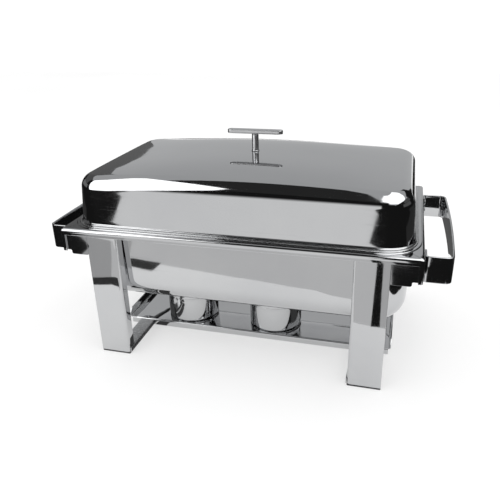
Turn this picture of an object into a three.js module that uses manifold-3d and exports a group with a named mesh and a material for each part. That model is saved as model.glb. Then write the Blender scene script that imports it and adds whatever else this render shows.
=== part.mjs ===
// A full-size chafing dish: a bright stainless steel stand with strap handles, a water pan, a food pan,
// a domed lid with a T handle, and a low shelf that carries two fuel holders.
//
// Units are millimetres. X runs along the length, Y from front to back, and Z up from the table.
// The origin is the middle of the footprint, at table height.

import * as THREE from "three";
import { mergeVertices } from "three/addons/utils/BufferGeometryUtils.js";
import Module from "manifold-3d";

const wasm = await Module();
wasm.setup();

// ---- Driving dimensions -------------------------------------------------------------------------

const CLEARANCE = 0.3; // gap between pieces that touch

const RIM = { halfLength: 276, halfDepth: 169, top: 222, sheet: 2, frontSkirt: 11, endSkirt: 38 };
const OPENING = { halfLength: 262.5, halfDepth: 149.5 };
const SKIRT_RETURN = 7; // width of the end skirt's return at each corner

const LEG = { outerX: 232.5, width: 51, flange: 17.5, sheet: 2 };
const PAD = { height: 2.7, plugHeight: 11 };
const CORNER_PLATE = { width: 40, height: 41, sheet: 1.7, notchWidth: 11, notchHeight: 7 };

const STRAP = { reach: 43, armY: 139, height: 40, top: 214, sheet: 3, bow: 3, bend: 9, foot: 24 };
const RIVET = { shank: 2.5, head: 5, headHeight: 2.2, fromArm: 14, fromTop: 9.5, apart: 14 };

const SHELF = {
  middleX: 8, halfLength: 235, halfDepth: 71,
  sheet: 1.5, underside: 11.8, lip: 11.3, endLip: 15,
};
const SHELF_RAIL = { innerX: 179.7, width: 25, height: 8.5, sheet: 1.5, reach: 164.4 };

const HOLDER = { radius: 46, wall: 1.2, height: 57, y: -22, leftX: -118, rightX: 38 };
const CAN = { radius: 43, wall: 0.8, height: 52, mouth: 24, fill: 42 };
const DAMPER = { radius: 27, sheet: 1.2, pivotOffset: 51, armWidth: 12, tab: 7 };
const PIVOT = { radius: 2.4, head: 4.2, headHeight: 1.6 };

const WATER_PAN = {
  rimHalfLength: 272, rimHalfDepth: 164, rimCorner: 55,
  halfLength: 260.5, halfDepth: 147.5, corner: 50,
  depth: 131, draft: 3, bottomRadius: 40, sheet: 1,
};
const FOOD_PAN = {
  rimHalfLength: 266.5, rimHalfDepth: 160, rimCorner: 50,
  halfLength: 248, halfDepth: 142, corner: 40,
  depth: 65, draft: 6, bottomRadius: 18, sheet: 0.8,
};
const LID = {
  halfLength: 262, halfDepth: 151, corner: 42, flange: 2.5, sheet: 1,
  shoulder: 73, shoulderRadius: 19, draft: 4.8, crown: 19,
};
const KNOB = {
  barLength: 92, barWidth: 13, barHeight: 6.5, postRadius: 5.5, postHeight: 28,
  collar: 6.5, collarHeight: 1.2, stud: 3, studLength: 13, washer: 10, washerHeight: 1.5,
  nut: 6.5, nutHeight: 5,
};

// ---- Heights worked out from the stack of rims ---------------------------------------------------

const waterRimBase = RIM.top + CLEARANCE;
const foodRimBase = waterRimBase + WATER_PAN.sheet + CLEARANCE;
const lidBase = foodRimBase + FOOD_PAN.sheet + CLEARANCE;
const lidTop = lidBase + LID.shoulder + LID.crown;
const shelfTop = SHELF.underside + SHELF.sheet;
const holderBase = shelfTop + CLEARANCE;
const holderTop = holderBase + HOLDER.height;
const canBase = holderBase + HOLDER.wall + CLEARANCE;
const damperBase = holderTop + 1;

// ---- Finishes ------------------------------------------------------------------------------------

const mirrorSteel = new THREE.MeshStandardMaterial({ color: 0xcfd2d4, roughness: 0.08, metalness: 1 });
const satinSteel = new THREE.MeshStandardMaterial({ color: 0xb9bdc0, roughness: 0.3, metalness: 1 });
const tinplate = new THREE.MeshStandardMaterial({ color: 0xc4c2bb, roughness: 0.4, metalness: 1 });
const gelFuel = new THREE.MeshStandardMaterial({ color: 0x7fb2d6, roughness: 0.25, metalness: 0 });
const darkRubber = new THREE.MeshStandardMaterial({ color: 0x3a3c3e, roughness: 0.8, metalness: 0 });

// ---- Solids --------------------------------------------------------------------------------------

// A closed three.js geometry as a manifold-3d solid.
function solidOf(geometry) {
  const bare = geometry.clone();
  bare.deleteAttribute("normal");
  bare.deleteAttribute("uv");
  const merged = mergeVertices(bare, 1e-3);
  const vertProperties = new Float32Array(merged.attributes.position.array);
  const triVerts = new Uint32Array(merged.index.array);
  return new wasm.Manifold(new wasm.Mesh({ numProp: 3, vertProperties, triVerts }));
}

function geometryOf(solid) {
  const mesh = solid.getMesh();
  const geometry = new THREE.BufferGeometry();
  geometry.setAttribute("position", new THREE.BufferAttribute(new Float32Array(mesh.vertProperties), 3));
  geometry.setIndex(new THREE.BufferAttribute(new Uint32Array(mesh.triVerts), 1));
  geometry.computeVertexNormals();
  return geometry;
}

// Joins the first geometries and cuts the holes out of them.
function shaped(geometries, holes = []) {
  let solid = solidOf(geometries[0]);
  for (const geometry of geometries.slice(1)) solid = solid.add(solidOf(geometry));
  for (const hole of holes) solid = solid.subtract(solidOf(hole));
  return geometryOf(solid);
}

// A box between two corners.
function block([x0, y0, z0], [x1, y1, z1]) {
  const geometry = new THREE.BoxGeometry(Math.abs(x1 - x0), Math.abs(y1 - y0), Math.abs(z1 - z0));
  return geometry.translate((x0 + x1) / 2, (y0 + y1) / 2, (z0 + z1) / 2);
}

// A cylinder standing on (x, y, z).
function post(radius, height, [x, y, z], sides = 24) {
  const geometry = new THREE.CylinderGeometry(radius, radius, height, sides);
  return geometry.rotateX(Math.PI / 2).translate(x, y, z + height / 2);
}

// A turned piece from [radius, height] pairs that start and end on the axis, standing on (x, y, z).
function turned(profile, [x, y, z], sides = 32) {
  const points = profile.map(([radius, height]) => new THREE.Vector2(radius, height));
  const geometry = new THREE.LatheGeometry(points, sides);
  return geometry.rotateX(Math.PI / 2).translate(x, y, z);
}

// An outline in the XY plane, raised from z by height.
function plate(outline, height, z) {
  const shape = new THREE.Shape(outline.map(([x, y]) => new THREE.Vector2(x, y)));
  const geometry = new THREE.ExtrudeGeometry(shape, { depth: height, bevelEnabled: false });
  return geometry.translate(0, 0, z);
}

// The mirror image of a geometry in the YZ or XZ plane, or both, with its faces still outwards.
function mirrored(geometry, sideX, sideY) {
  const copy = geometry.clone().scale(sideX, sideY, 1);
  if (sideX * sideY > 0) return copy;
  const index = copy.index.array;
  for (let i = 0; i < index.length; i += 3) {
    [index[i + 1], index[i + 2]] = [index[i + 2], index[i + 1]];
  }
  copy.computeVertexNormals();
  return copy;
}

// Points round a rectangle with rounded corners, counter-clockwise, with extra points on the straights.
function roundedRectangle(halfLength, halfDepth, corner, sides = { corner: 6, long: 1, short: 1 }) {
  const points = [];
  const quarters = [[1, 1], [-1, 1], [-1, -1], [1, -1]];
  quarters.forEach(([sx, sy], quarter) => {
    const centre = [sx * (halfLength - corner), sy * (halfDepth - corner)];
    for (let i = 0; i <= sides.corner; i++) {
      const angle = (Math.PI / 2) * (quarter + i / sides.corner);
      points.push([centre[0] + corner * Math.cos(angle), centre[1] + corner * Math.sin(angle)]);
    }
    const [nx, ny] = quarters[(quarter + 1) % 4];
    const from = points[points.length - 1];
    const toAngle = (Math.PI / 2) * (quarter + 1);
    const to = [
      nx * (halfLength - corner) + corner * Math.cos(toAngle),
      ny * (halfDepth - corner) + corner * Math.sin(toAngle),
    ];
    const steps = quarter % 2 === 0 ? sides.long : sides.short;
    for (let i = 1; i < steps; i++) {
      points.push([from[0] + ((to[0] - from[0]) * i) / steps, from[1] + ((to[1] - from[1]) * i) / steps]);
    }
  });
  return points;
}

// A closed skin through a list of rings of equal length, with a point capping each end.
function lofted(rings, firstPole, lastPole) {
  const count = rings[0].length;
  const positions = rings.flat(2);
  const first = rings.length * count;
  positions.push(...firstPole, ...lastPole);
  const index = [];
  for (let j = 0; j < count; j++) {
    const next = (j + 1) % count;
    index.push(first, next, j);
    index.push(first + 1, first - count + j, first - count + next);
    for (let i = 0; i + 1 < rings.length; i++) {
      const low = i * count;
      const high = low + count;
      index.push(low + j, low + next, high + next);
      index.push(low + j, high + next, high + j);
    }
  }
  const geometry = new THREE.BufferGeometry();
  geometry.setAttribute("position", new THREE.Float32BufferAttribute(positions, 3));
  geometry.setIndex(index);
  return geometry;
}

const group = new THREE.Group();

function add(name, geometry, material) {
  const mesh = new THREE.Mesh(geometry, material);
  mesh.name = name;
  group.add(mesh);
}

const SIDES = [["left", -1], ["right", 1]];
const ENDS = [["front", -1], ["back", 1]];

// ---- Stand ---------------------------------------------------------------------------------------

// The front or back rail: a narrow flange over the pans' opening with a short skirt outside it.
function longRail() {
  const skirtHalf = RIM.halfLength - RIM.sheet - CLEARANCE;
  const flangeHalf = OPENING.halfLength - CLEARANCE;
  const under = RIM.top - RIM.sheet;
  const flange = block([-flangeHalf, -RIM.halfDepth, under], [flangeHalf, -OPENING.halfDepth, RIM.top]);
  const outer = -RIM.halfDepth;
  const skirt = block(
    [-skirtHalf, outer, RIM.top - RIM.frontSkirt],
    [skirtHalf, outer + RIM.sheet, under - CLEARANCE],
  );
  const neck = block([-flangeHalf, outer, under - 1], [flangeHalf, outer + RIM.sheet, RIM.top]);
  return shaped([flange, skirt, neck]);
}

// The end rail on the right: a wide flange, a deep skirt, and a return at each end of the skirt.
function endRail() {
  const { halfLength, halfDepth, top, sheet } = RIM;
  const bottom = top - RIM.endSkirt;
  const returnTop = top - RIM.frontSkirt - CLEARANCE;
  const flange = block([OPENING.halfLength, -halfDepth, top - sheet], [halfLength, halfDepth, top]);
  const skirt = block([halfLength - sheet, -halfDepth, bottom], [halfLength, halfDepth, top]);
  const returns = ENDS.map(([, end]) =>
    block(
      [halfLength - SKIRT_RETURN, end * halfDepth, bottom],
      [halfLength, end * (halfDepth - sheet), returnTop],
    ),
  );
  return shaped([flange, skirt, ...returns], rivetHoles());
}

// The corner leg at the front right: an angle with its broad face to the front.
function leg() {
  const face = -RIM.halfDepth + RIM.sheet + CLEARANCE;
  const inner = LEG.outerX - LEG.width;
  const base = PAD.height + CLEARANCE;
  const top = RIM.top - RIM.sheet - CLEARANCE;
  const front = block([inner, face, base], [LEG.outerX, face + LEG.sheet, top]);
  const side = block([inner, face, base], [inner + LEG.sheet, face + LEG.flange, top]);
  return shaped([front, side]);
}

// The pad under a leg, with a plug that fills the angle.
function footPad() {
  const face = -RIM.halfDepth + RIM.sheet + CLEARANCE;
  const inner = LEG.outerX - LEG.width;
  const wall = LEG.sheet + CLEARANCE;
  const sole = block([inner, face, 0], [LEG.outerX, face + LEG.flange, PAD.height]);
  const plug = block(
    [inner + wall, face + wall, 0],
    [LEG.outerX - wall, face + LEG.flange, PAD.height + PAD.plugHeight],
  );
  return shaped([sole, plug]);
}

// The plate that ties a leg to the end of the rim, notched at its lower outer corner.
function cornerPlate() {
  const { width, height, sheet, notchWidth, notchHeight } = CORNER_PLATE;
  const face = -RIM.halfDepth + RIM.sheet + CLEARANCE;
  const inner = LEG.outerX + CLEARANCE;
  const top = RIM.top - RIM.sheet - CLEARANCE;
  const whole = block([inner, face, top - height], [inner + width, face + sheet, top]);
  const notch = block(
    [inner + width - notchWidth, face - 1, top - height - 1],
    [inner + width + 1, face + sheet + 1, top - height + notchHeight],
  );
  return shaped([whole], [notch]);
}

// ---- Handles -------------------------------------------------------------------------------------

// The middle line of the right handle, seen from above: a foot, an arm, a bowed grip, and back again.
function strapLine() {
  const inner = RIM.halfLength + CLEARANCE + STRAP.sheet / 2;
  const outer = RIM.halfLength + STRAP.reach - STRAP.bow - STRAP.sheet / 2;
  const armY = STRAP.armY - STRAP.sheet / 2;
  const half = [];
  half.push([inner, armY - STRAP.foot]);
  for (let i = 0; i <= 4; i++) {
    const turn = (Math.PI / 2) * (i / 4);
    half.push([inner + 4 * (1 - Math.cos(turn)), armY - 4 + 4 * Math.sin(turn)]);
  }
  for (let i = 0; i <= 5; i++) {
    const turn = (Math.PI / 2) * (1 - i / 5);
    const centre = [outer - STRAP.bend, armY - STRAP.bend];
    half.push([centre[0] + STRAP.bend * Math.cos(turn), centre[1] + STRAP.bend * Math.sin(turn)]);
  }
  const gripEnd = armY - STRAP.bend;
  for (let i = 1; i <= 4; i++) {
    const y = gripEnd * (1 - i / 4);
    half.push([outer + STRAP.bow * (1 - (y / gripEnd) ** 2), y]);
  }
  const others = half.slice(0, -1).reverse();
  return [...half, ...others.map(([x, y]) => [x, -y])];
}

// The outline of a strap of even thickness along a middle line.
function strapOutline(line, thickness) {
  const left = [];
  const right = [];
  line.forEach(([x, y], i) => {
    const [ax, ay] = line[Math.max(i - 1, 0)];
    const [bx, by] = line[Math.min(i + 1, line.length - 1)];
    const length = Math.hypot(bx - ax, by - ay);
    const nx = (-(by - ay) / length) * (thickness / 2);
    const ny = ((bx - ax) / length) * (thickness / 2);
    left.push([x + nx, y + ny]);
    right.unshift([x - nx, y - ny]);
  });
  return [...left, ...right];
}

function strapHandle() {
  const outline = strapOutline(strapLine(), STRAP.sheet);
  return shaped([plate(outline, STRAP.height, STRAP.top - STRAP.height)], rivetHoles());
}

// Where the rivets of the right handle pass through its feet.
function rivetPlaces() {
  const upper = STRAP.top - RIVET.fromTop;
  return ENDS.flatMap(([end, sign]) => [
    { name: `${end}_upper`, y: sign * (STRAP.armY - RIVET.fromArm), z: upper },
    { name: `${end}_lower`, y: sign * (STRAP.armY - RIVET.fromArm), z: upper - RIVET.apart },
  ]);
}

function rivetHoles() {
  const radius = RIVET.shank + CLEARANCE;
  return rivetPlaces().map(({ y, z }) =>
    post(radius, 20, [0, 0, -10], 12).rotateY(Math.PI / 2).translate(RIM.halfLength, y, z),
  );
}

// A rivet with a domed head outside the foot and a flat one inside the skirt.
function rivet({ y, z }) {
  const inside = RIM.halfLength - RIM.sheet - CLEARANCE;
  const outside = RIM.halfLength + STRAP.sheet + 2 * CLEARANCE;
  const grip = outside - inside;
  const profile = [
    [0, -RIVET.headHeight / 2],
    [RIVET.head - 1, -RIVET.headHeight / 2],
    [RIVET.head - 1, 0],
    [RIVET.shank, 0],
    [RIVET.shank, grip],
    [RIVET.head, grip],
    [RIVET.head * 0.7, grip + RIVET.headHeight * 0.7],
    [0, grip + RIVET.headHeight],
  ];
  return turned(profile, [0, 0, 0], 12).rotateY(Math.PI / 2).translate(inside, y, z);
}

// ---- Fuel shelf ----------------------------------------------------------------------------------

// The shelf: a tray folded down along its front and back and up at both ends, notched over the rails.
function fuelShelf() {
  const { middleX, halfLength, halfDepth, sheet, underside, lip, endLip } = SHELF;
  const left = middleX - halfLength;
  const right = middleX + halfLength;
  const tray = block([left, -halfDepth, underside], [right, halfDepth, shelfTop]);
  const lips = ENDS.map(([, end]) =>
    block([left, end * halfDepth, shelfTop - lip], [right, end * (halfDepth - sheet), shelfTop]),
  );
  const ends = [left, right - sheet].map((x) =>
    block([x, -halfDepth, underside], [x + sheet, halfDepth, shelfTop + endLip]),
  );
  const from = SHELF_RAIL.innerX - CLEARANCE;
  const to = SHELF_RAIL.innerX + SHELF_RAIL.width + CLEARANCE;
  const notches = SIDES.map(([, side]) =>
    block([side * from, -2 * halfDepth, 0], [side * to, 2 * halfDepth, underside]),
  );
  return shaped([tray, ...lips, ...ends], notches);
}

// The angle that joins a front foot to a back foot and carries one end of the shelf.
function shelfRail() {
  const { innerX, width, height, sheet, reach } = SHELF_RAIL;
  const top = SHELF.underside - CLEARANCE;
  const ledgeHalf = RIM.halfDepth - RIM.sheet - LEG.flange - 3 * CLEARANCE;
  const web = block([innerX, -reach, top - height], [innerX + sheet, reach, top]);
  const ledge = block([innerX, -ledgeHalf, top - sheet], [innerX + width, ledgeHalf, top]);
  return shaped([web, ledge]);
}

// ---- Fuel holders --------------------------------------------------------------------------------

function fuelHolder(x) {
  const { radius, wall, height, y } = HOLDER;
  const cup = turned(
    [[0, 0], [radius - 3, 0], [radius, 3], [radius, height - 1], [radius - 0.6, height],
      [radius - wall, height - 0.6], [radius - wall, wall], [0, wall]],
    [x, y, holderBase],
    40,
  );
  const pivotY = y + DAMPER.pivotOffset;
  const lug = block([x - 5, y + radius - 0.9, holderTop - 12], [x + 5, pivotY + 4.5, holderTop]);
  const hole = post(PIVOT.radius + CLEARANCE, 30, [x, pivotY, holderTop - 20], 16);
  return shaped([cup, lug], [hole]);
}

// The fuel tin, with its mouth open.
function fuelCan(x) {
  const { radius, wall, height, mouth } = CAN;
  const inner = radius - wall;
  const profile = [
    [0, 0], [radius - 2, 0], [radius, 2], [radius, height - 2], [radius - 2, height],
    [mouth, height], [mouth, height - wall], [inner - 2, height - wall], [inner, height - wall - 2],
    [inner, wall + 2], [inner - 2, wall], [0, wall],
  ];
  return turned(profile, [x, HOLDER.y, canBase], 32);
}

// The gel in the tin.
function fuelGel(x) {
  const radius = CAN.radius - CAN.wall - CLEARANCE;
  const height = CAN.fill - CAN.wall - CLEARANCE;
  const profile = [[0, 0], [radius - 2, 0], [radius, 2], [radius, height], [0, height]];
  return turned(profile, [x, HOLDER.y, canBase + CAN.wall + CLEARANCE], 32);
}

// The snuffer: a disc over the tin's mouth on an arm that swings about the pivot.
function damperCover(x) {
  const { radius, sheet, pivotOffset, armWidth, tab } = DAMPER;
  const pivotY = HOLDER.y + pivotOffset;
  const disc = post(radius, sheet, [x, HOLDER.y, damperBase], 36);
  const half = armWidth / 2;
  const arm = block([x - half, HOLDER.y, damperBase], [x + half, pivotY, damperBase + sheet]);
  const eye = post(half, sheet, [x, pivotY, damperBase], 20);
  const front = HOLDER.y - radius;
  const lip = block([x - 6, front - 1, damperBase], [x + 6, front + 3, damperBase + sheet]);
  const lift = block([x - 6, front - 1, damperBase], [x + 6, front - 1 + sheet, damperBase + tab]);
  const hole = post(PIVOT.radius + CLEARANCE, 20, [x, pivotY, damperBase - 10], 16);
  return shaped([disc, arm, eye, lip, lift], [hole]);
}

// The pin that the snuffer turns on, headed above and below.
function damperPivot(x) {
  const { radius, head, headHeight } = PIVOT;
  const low = holderTop - 12 - CLEARANCE;
  const grip = damperBase + DAMPER.sheet + CLEARANCE - low;
  const profile = [
    [0, -1], [head - 1, -1], [head - 1, 0], [radius, 0],
    [radius, grip], [head, grip], [head - 0.8, grip + headHeight], [0, grip + headHeight],
  ];
  return turned(profile, [x, HOLDER.y + DAMPER.pivotOffset, low], 16);
}

// ---- Pans ----------------------------------------------------------------------------------------

// One skin of a pan's body, from just under the rim down to the edge of the flat bottom.
function panWall(pan, rimBase, inset) {
  const { halfLength, halfDepth, corner, depth, draft, bottomRadius } = pan;
  const radius = bottomRadius - inset;
  const floor = rimBase + pan.sheet - depth + inset;
  const ring = (into, z) => {
    const cornerHere = Math.max(corner - into, 6);
    const line = roundedRectangle(halfLength - into, halfDepth - into, cornerHere);
    return line.map(([x, y]) => [x, y, z]);
  };
  const rings = [ring(inset, rimBase - CLEARANCE)];
  for (let i = 0; i <= 4; i++) {
    const turn = (Math.PI / 2) * (i / 4);
    rings.push(ring(inset + draft + radius * (1 - Math.cos(turn)), floor + radius * (1 - Math.sin(turn))));
  }
  return rings;
}

// The body of a pan, open at the top.
function panBody(dimensions, rimBase) {
  const outside = panWall(dimensions, rimBase, 0).reverse();
  const inside = panWall(dimensions, rimBase, dimensions.sheet);
  const floor = rimBase + dimensions.sheet - dimensions.depth;
  return lofted([...outside, ...inside], [0, 0, floor], [0, 0, floor + dimensions.sheet]);
}

// The flat rim of a pan, from the inside of its wall out to its round-cornered edge.
function panRim(dimensions, rimBase) {
  const { rimHalfLength, rimHalfDepth, rimCorner, halfLength, halfDepth, corner, sheet } = dimensions;
  const edge = plate(roundedRectangle(rimHalfLength, rimHalfDepth, rimCorner), sheet, rimBase);
  const mouth = roundedRectangle(halfLength - sheet, halfDepth - sheet, corner - sheet);
  return shaped([edge], [plate(mouth, sheet + 2, rimBase - 1)]);
}

// ---- Lid -----------------------------------------------------------------------------------------

// One skin of the lid, from its foot over the shoulder to the middle of the domed top.
function lidSkin(inset) {
  const { halfLength, halfDepth, corner, shoulder, shoulderRadius, draft, crown } = LID;
  const sides = { corner: 6, long: 6, short: 4 };
  const radius = shoulderRadius - inset;
  const top = lidBase + shoulder - inset;
  const rise = (x, y) => crown * (1 - (x / halfLength) ** 2) * (1 - (y / halfDepth) ** 4);
  const ring = (into, z, lift) => {
    const line = roundedRectangle(halfLength - into, halfDepth - into, Math.max(corner - into, 6), sides);
    return line.map(([x, y]) => [x, y, z + lift * rise(x, y)]);
  };
  const rings = [ring(inset, inset === 0 ? lidBase + LID.sheet : lidBase, 0)];
  for (let i = 0; i <= 5; i++) {
    const turn = (Math.PI / 2) * (i / 5);
    const into = inset + draft + radius * (1 - Math.cos(turn));
    rings.push(ring(into, top - radius * (1 - Math.sin(turn)), Math.sin(turn) ** 2));
  }
  const flat = draft + shoulderRadius;
  const edge = roundedRectangle(halfLength - flat, halfDepth - flat, corner - flat, sides);
  for (const share of [0.85, 0.65, 0.45, 0.25, 0.1]) {
    rings.push(edge.map(([x, y]) => [x * share, y * share, top + rise(x * share, y * share)]));
  }
  return rings;
}

function lidShell() {
  const { halfLength, halfDepth, corner, flange, sheet } = LID;
  const sides = { corner: 6, long: 6, short: 4 };
  const edge = roundedRectangle(halfLength + flange, halfDepth + flange, corner + flange, sides);
  const flangeLow = edge.map(([x, y]) => [x, y, lidBase]);
  const flangeHigh = edge.map(([x, y]) => [x, y, lidBase + sheet]);
  const inside = lidSkin(sheet).reverse();
  const outside = lidSkin(0);
  const skin = lofted(
    [...inside, flangeLow, flangeHigh, ...outside],
    [0, 0, lidTop - sheet],
    [0, 0, lidTop],
  );
  const hole = post(KNOB.stud + CLEARANCE, 40, [0, 0, lidTop - 20], 16);
  return shaped([skin], [hole]);
}

// The post of the T handle, with a collar that bears on the lid and a stud that passes through it.
function lidPost() {
  const { postRadius, postHeight, collar, collarHeight, stud, studLength } = KNOB;
  const profile = [
    [0, -studLength], [stud, -studLength], [stud, 0], [collar, 0], [collar, collarHeight - 0.6],
    [collar - 0.6, collarHeight], [postRadius, collarHeight], [postRadius, postHeight], [0, postHeight],
  ];
  return turned(profile, [0, 0, lidTop + CLEARANCE], 24);
}

// The crossbar of the T handle, a flat bar with round ends.
function lidBar() {
  const { barLength, barWidth, barHeight, postHeight } = KNOB;
  const base = lidTop + postHeight + 2 * CLEARANCE;
  const sides = { corner: 6, long: 1, short: 1 };
  const outline = roundedRectangle(barLength / 2, barWidth / 2, barWidth / 2 - 0.5, sides);
  return shaped([plate(outline, barHeight, base)]);
}

function ringOf(outer, inner, height, sides, z) {
  const body = post(outer, height, [0, 0, z], sides);
  return shaped([body], [post(inner, height + 2, [0, 0, z - 1], 16)]);
}

// ---- Assembly ------------------------------------------------------------------------------------

for (const [end, sign] of ENDS) {
  add(`${end}_rail`, mirrored(longRail(), 1, -sign), mirrorSteel);
}

for (const [side, sign] of SIDES) {
  add(`${side}_end_rail`, mirrored(endRail(), sign, 1), mirrorSteel);
  add(`${side}_handle`, mirrored(strapHandle(), sign, 1), mirrorSteel);
  add(`${side}_shelf_rail`, mirrored(shelfRail(), sign, 1), satinSteel);
  for (const place of rivetPlaces()) {
    add(`${side}_handle_rivet_${place.name}`, mirrored(rivet(place), sign, 1), satinSteel);
  }
  for (const [end, endSign] of ENDS) {
    add(`leg_${end}_${side}`, mirrored(leg(), sign, -endSign), mirrorSteel);
    add(`foot_pad_${end}_${side}`, mirrored(footPad(), sign, -endSign), darkRubber);
    add(`corner_plate_${end}_${side}`, mirrored(cornerPlate(), sign, -endSign), mirrorSteel);
  }
}

add("fuel_shelf", fuelShelf(), mirrorSteel);

for (const [side, x] of [["left", HOLDER.leftX], ["right", HOLDER.rightX]]) {
  add(`fuel_holder_${side}`, fuelHolder(x), mirrorSteel);
  add(`fuel_can_${side}`, fuelCan(x), tinplate);
  add(`fuel_gel_${side}`, fuelGel(x), gelFuel);
  add(`damper_cover_${side}`, damperCover(x), satinSteel);
  add(`damper_pivot_${side}`, damperPivot(x), satinSteel);
}

add("water_pan_body", panBody(WATER_PAN, waterRimBase), mirrorSteel);
add("water_pan_rim", panRim(WATER_PAN, waterRimBase), mirrorSteel);
add("food_pan_body", panBody(FOOD_PAN, foodRimBase), satinSteel);
add("food_pan_rim", panRim(FOOD_PAN, foodRimBase), satinSteel);
add("lid_shell", lidShell(), mirrorSteel);
add("lid_handle_post", lidPost(), mirrorSteel);
add("lid_handle_bar", lidBar(), mirrorSteel);

const washerBase = lidTop - LID.sheet - CLEARANCE - KNOB.washerHeight;
const nutBase = washerBase - CLEARANCE - KNOB.nutHeight;
const threadHole = KNOB.stud + CLEARANCE;
add("lid_washer", ringOf(KNOB.washer, threadHole, KNOB.washerHeight, 24, washerBase), satinSteel);
add("lid_nut", ringOf(KNOB.nut, threadHole, KNOB.nutHeight, 6, nutBase), satinSteel);

export default group;
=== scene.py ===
# Looks of the chafing dish: a mirror-bright stand, lid and pans, satin fittings, and two fuel burners.
# Lengths are in metres, in the frame of the CAD model.

import math

import bmesh
import bpy
from mathutils import Matrix, Vector


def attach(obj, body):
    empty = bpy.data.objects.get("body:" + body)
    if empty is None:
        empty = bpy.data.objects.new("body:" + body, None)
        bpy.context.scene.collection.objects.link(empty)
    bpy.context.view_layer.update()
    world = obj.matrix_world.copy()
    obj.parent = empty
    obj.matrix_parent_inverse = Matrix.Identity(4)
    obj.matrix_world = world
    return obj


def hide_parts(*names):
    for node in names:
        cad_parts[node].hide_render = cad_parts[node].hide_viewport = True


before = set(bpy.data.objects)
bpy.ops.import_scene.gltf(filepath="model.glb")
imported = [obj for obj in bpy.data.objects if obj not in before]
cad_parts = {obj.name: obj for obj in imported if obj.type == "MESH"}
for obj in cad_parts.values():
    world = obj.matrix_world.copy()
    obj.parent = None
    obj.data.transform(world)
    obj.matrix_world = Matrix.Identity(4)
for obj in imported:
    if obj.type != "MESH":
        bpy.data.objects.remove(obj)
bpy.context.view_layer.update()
MM = 0.001
SIDES = (("left", -1), ("right", 1))
ENDS = (("front", -1), ("back", 1))


# ---- Camera --------------------------------------------------------------------------------------

CAMERA_PLACE = (0.2343, -0.8724, 0.5360)
CAMERA_ANGLES = (-0.277, 0.415, -0.025)


def add_camera():
    """A camera in front of the dish and a little to the right, looking down at it."""
    azimuth, elevation, roll = CAMERA_ANGLES
    ahead = Vector((math.sin(azimuth) * math.cos(elevation), math.cos(azimuth) * math.cos(elevation),
                    -math.sin(elevation)))
    level = Vector((math.cos(azimuth), -math.sin(azimuth), 0))
    upward = level.cross(ahead)
    right = level * math.cos(roll) + upward * math.sin(roll)
    up = upward * math.cos(roll) - level * math.sin(roll)
    data = bpy.data.cameras.new("camera")
    data.lens = 40.0
    data.sensor_width = 36.0
    data.clip_start = 0.05
    data.clip_end = 200
    camera = bpy.data.objects.new("camera", data)
    rotation = Matrix((right, up, -ahead)).transposed().to_4x4()
    camera.matrix_world = Matrix.Translation(CAMERA_PLACE) @ rotation
    bpy.context.scene.collection.objects.link(camera)
    bpy.context.scene.camera = camera


add_camera()


# ---- Materials -----------------------------------------------------------------------------------

class Nodes:
    """A small helper for building one material's node tree."""

    def __init__(self, name):
        self.material = bpy.data.materials.new(name)
        self.material.use_nodes = True
        self.tree = self.material.node_tree
        self.shader = self.tree.nodes["Principled BSDF"]
        self.place = self.tree.nodes.new("ShaderNodeTexCoord").outputs["Object"]

    def link(self, source, target):
        self.tree.links.new(source, target)

    def stretched(self, scale, turn=(0, 0, 0)):
        node = self.tree.nodes.new("ShaderNodeMapping")
        node.inputs["Scale"].default_value = scale
        node.inputs["Rotation"].default_value = turn
        self.link(self.place, node.inputs["Vector"])
        return node.outputs["Vector"]

    def noise(self, vector, scale, detail=2.0, roughness=0.5, distortion=0.0):
        node = self.tree.nodes.new("ShaderNodeTexNoise")
        node.inputs["Scale"].default_value = scale
        node.inputs["Detail"].default_value = detail
        node.inputs["Roughness"].default_value = roughness
        node.inputs["Distortion"].default_value = distortion
        self.link(vector, node.inputs["Vector"])
        return node.outputs["Fac"]

    def remap(self, value, from_low, from_high, to_low, to_high):
        node = self.tree.nodes.new("ShaderNodeMapRange")
        node.inputs["From Min"].default_value = from_low
        node.inputs["From Max"].default_value = from_high
        node.inputs["To Min"].default_value = to_low
        node.inputs["To Max"].default_value = to_high
        self.link(value, node.inputs["Value"])
        return node.outputs["Result"]

    def math(self, operation, first, second):
        node = self.tree.nodes.new("ShaderNodeMath")
        node.operation = operation
        for socket, value in zip(node.inputs, (first, second)):
            if isinstance(value, (int, float)):
                socket.default_value = value
            else:
                self.link(value, socket)
        return node.outputs["Value"]

    def blend(self, share, first, second):
        node = self.tree.nodes.new("ShaderNodeMix")
        node.data_type = "RGBA"
        self.link(share, node.inputs["Factor"])
        for socket, colour in ((node.inputs["A"], first), (node.inputs["B"], second)):
            if isinstance(colour, tuple):
                socket.default_value = (*colour, 1)
            else:
                self.link(colour, socket)
        return node.outputs["Result"]

    def bump(self, height, strength, distance, under=None):
        node = self.tree.nodes.new("ShaderNodeBump")
        node.inputs["Strength"].default_value = strength
        node.inputs["Distance"].default_value = distance
        self.link(height, node.inputs["Height"])
        if under is not None:
            self.link(under, node.inputs["Normal"])
        return node.outputs["Normal"]

    def finish(self, colour=None, roughness=None, normal=None):
        if colour is not None:
            self.link(colour, self.shader.inputs["Base Color"])
        if roughness is not None:
            self.link(roughness, self.shader.inputs["Roughness"])
        if normal is not None:
            self.link(normal, self.shader.inputs["Normal"])
        return self.material


def scratches(nodes, along, turn, threshold):
    """Hairlines in one direction, as a 0 to 1 mask."""
    lines = nodes.noise(nodes.stretched(along, turn), 1.0, 3.0, 0.6)
    return nodes.remap(lines, threshold, threshold + 0.06, 0.0, 1.0)


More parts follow.
